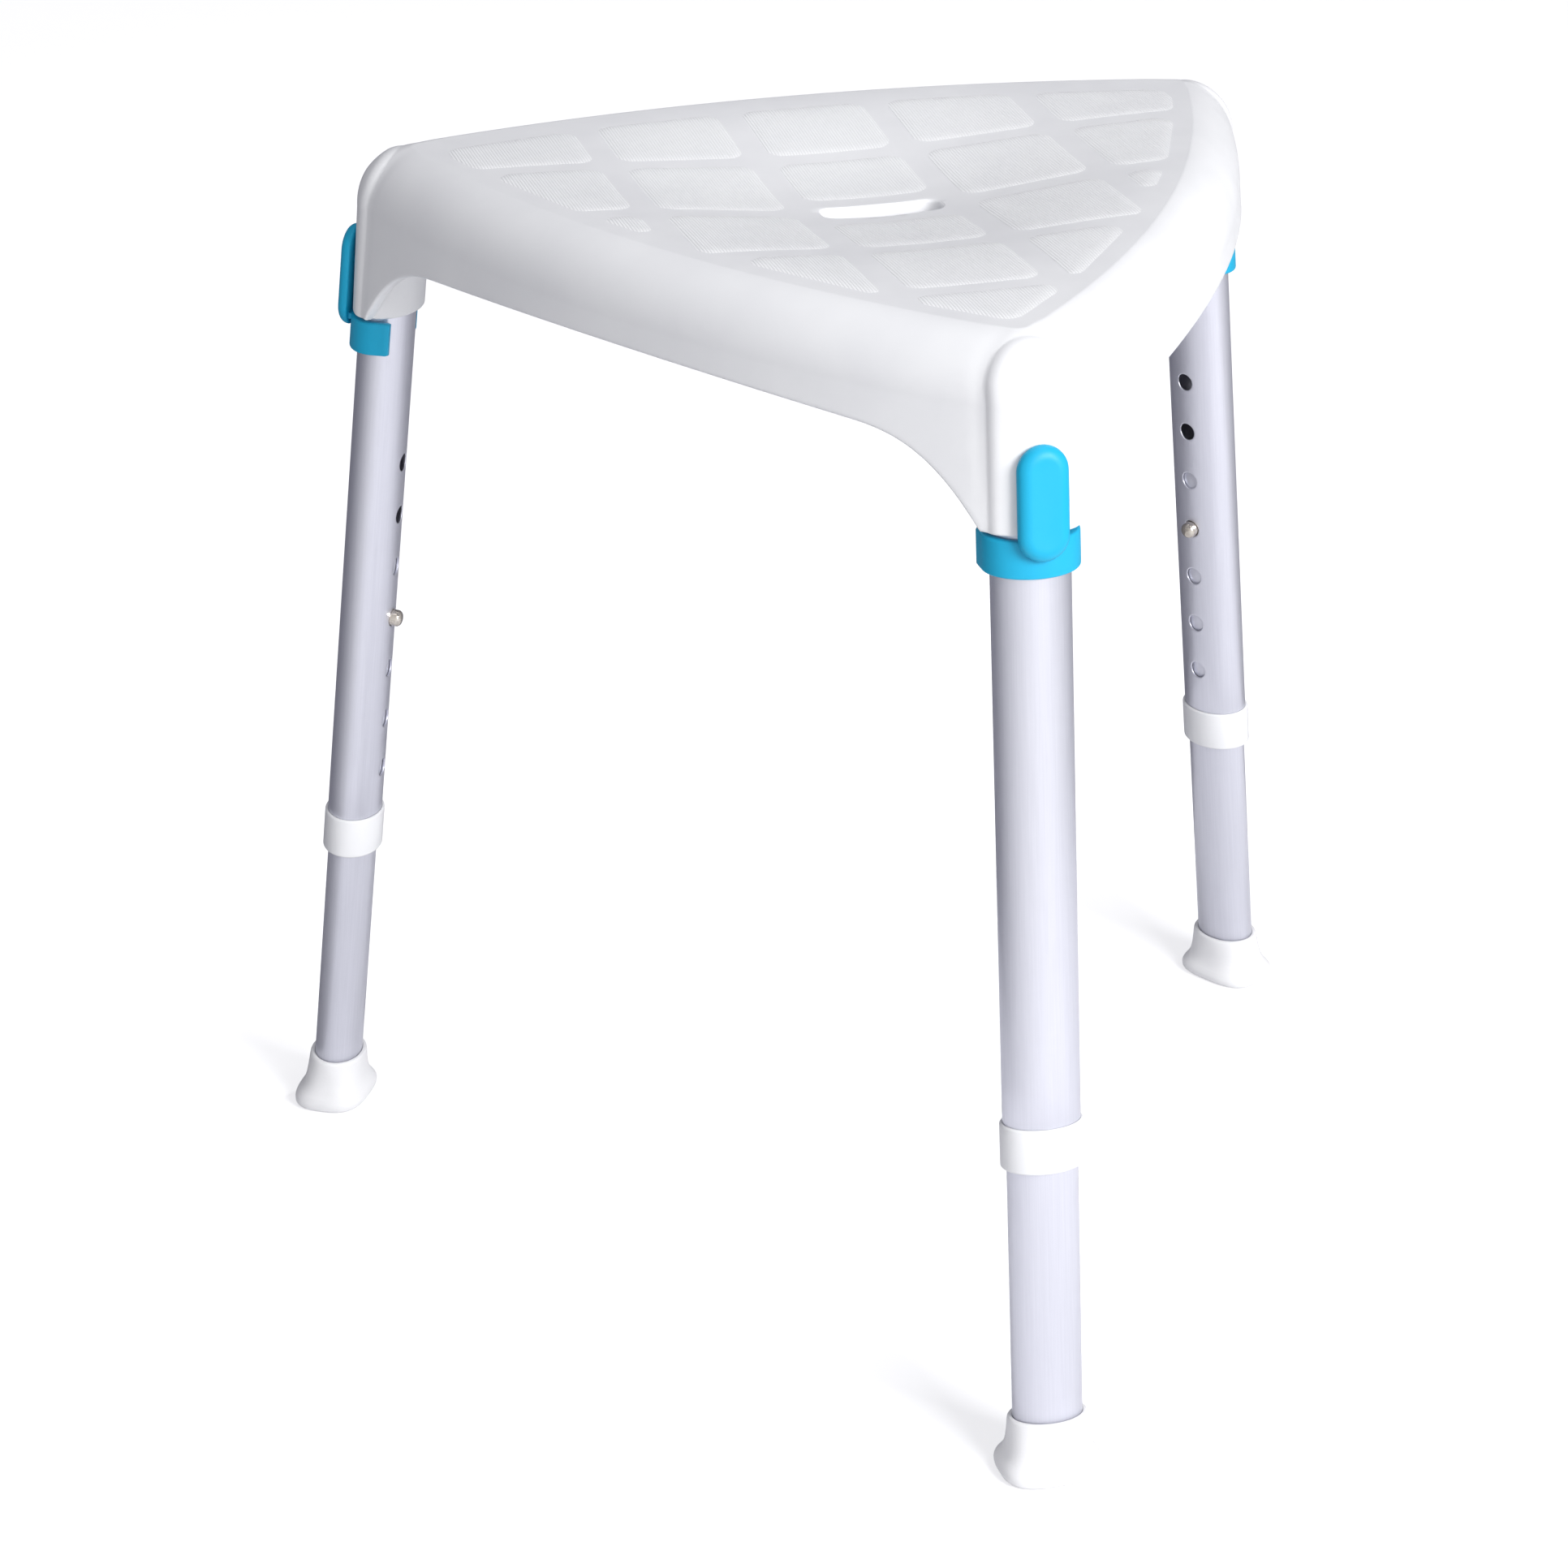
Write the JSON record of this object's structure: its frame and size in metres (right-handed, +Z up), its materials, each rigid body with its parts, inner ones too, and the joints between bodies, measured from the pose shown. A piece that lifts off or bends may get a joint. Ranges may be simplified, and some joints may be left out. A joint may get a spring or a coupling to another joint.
{
  "type": "shower stool",
  "caption": "Triangular shower stool with a moulded seat on splayed elliptical legs that telescope and lock by snap buttons.",
  "frame": {"origin": "on the floor, under the middle of the stool's outline", "axes": "+X across the stool to its right, +Y to its straight back side, +Z up; the front leg is towards -Y"},
  "size_m": [0.4884, 0.4271, 0.4665],
  "materials": {
    "seat_plastic": "fine satin moulded polypropylene, with textured pads",
    "collar_plastic": "smooth moulded plastic",
    "inner_plastic": "plain moulded plastic",
    "foot_rubber": "soft matte white rubber",
    "tube_aluminium": "satin anodised, with fine lengthwise grain",
    "clip_plastic": "satin moulded plastic",
    "button_nickel": "polished nickel plate",
    "spring_steel": "rolled strip"
  },
  "bodies": {
    "seat": {"seat_shell": "seat_plastic", "front_upper_tube": "tube_aluminium", "front_collar": "collar_plastic", "right_upper_tube": "tube_aluminium", "right_collar": "collar_plastic", "left_upper_tube": "tube_aluminium", "left_collar": "collar_plastic"},
    "front_leg": {"front_lower_tube": "tube_aluminium", "front_guide_plug": "inner_plastic", "front_foot": "foot_rubber", "front_foot_washer": "spring_steel", "front_button_spring": "spring_steel"},
    "front_button": {"front_snap_button": "button_nickel"},
    "front_clip": {"front_locking_clip": "clip_plastic"},
    "right_leg": {"right_lower_tube": "tube_aluminium", "right_guide_plug": "inner_plastic", "right_foot": "foot_rubber", "right_foot_washer": "spring_steel", "right_button_spring": "spring_steel"},
    "right_button": {"right_snap_button": "button_nickel"},
    "right_clip": {"right_locking_clip": "clip_plastic"},
    "left_leg": {"left_lower_tube": "tube_aluminium", "left_guide_plug": "inner_plastic", "left_foot": "foot_rubber", "left_foot_washer": "spring_steel", "left_button_spring": "spring_steel"},
    "left_button": {"left_snap_button": "button_nickel"},
    "left_clip": {"left_locking_clip": "clip_plastic"}
  },
  "joints": [
    {"name": "front_leg_height", "type": "slide", "parent": "seat", "child": "front_leg", "axis": [0, -0.1149, -0.9934], "range_m": [-0.075, 0.075]},
    {"name": "front_button_press", "type": "slide", "parent": "front_leg", "child": "front_button", "axis": [0, -0.9934, 0.1149], "range_m": [0, 0.0063], "stiffness_N_per_m": 1000, "springref_m": -0.004, "deforming": ["front_button_spring"]},
    {"name": "front_clip_pull", "type": "slide", "parent": "seat", "child": "front_clip", "axis": [0, -0.9934, 0.1149], "range_m": [0, 0.03]},
    {"name": "right_leg_height", "type": "slide", "parent": "seat", "child": "right_leg", "axis": [0.0995, 0.0575, -0.9934], "range_m": [-0.075, 0.075]},
    {"name": "right_button_press", "type": "slide", "parent": "right_leg", "child": "right_button", "axis": [0.8603, 0.4967, 0.1149], "range_m": [0, 0.0063], "stiffness_N_per_m": 1000, "springref_m": -0.004, "deforming": ["right_button_spring"]},
    {"name": "right_clip_pull", "type": "slide", "parent": "seat", "child": "right_clip", "axis": [0.8603, 0.4967, 0.1149], "range_m": [0, 0.03]},
    {"name": "left_leg_height", "type": "slide", "parent": "seat", "child": "left_leg", "axis": [-0.0995, 0.0575, -0.9934], "range_m": [-0.075, 0.075]},
    {"name": "left_button_press", "type": "slide", "parent": "left_leg", "child": "left_button", "axis": [-0.8603, 0.4967, 0.1149], "range_m": [0, 0.0063], "stiffness_N_per_m": 1000, "springref_m": -0.004, "deforming": ["left_button_spring"]},
    {"name": "left_clip_pull", "type": "slide", "parent": "seat", "child": "left_clip", "axis": [-0.8603, 0.4967, 0.1149], "range_m": [0, 0.03]}
  ]
}
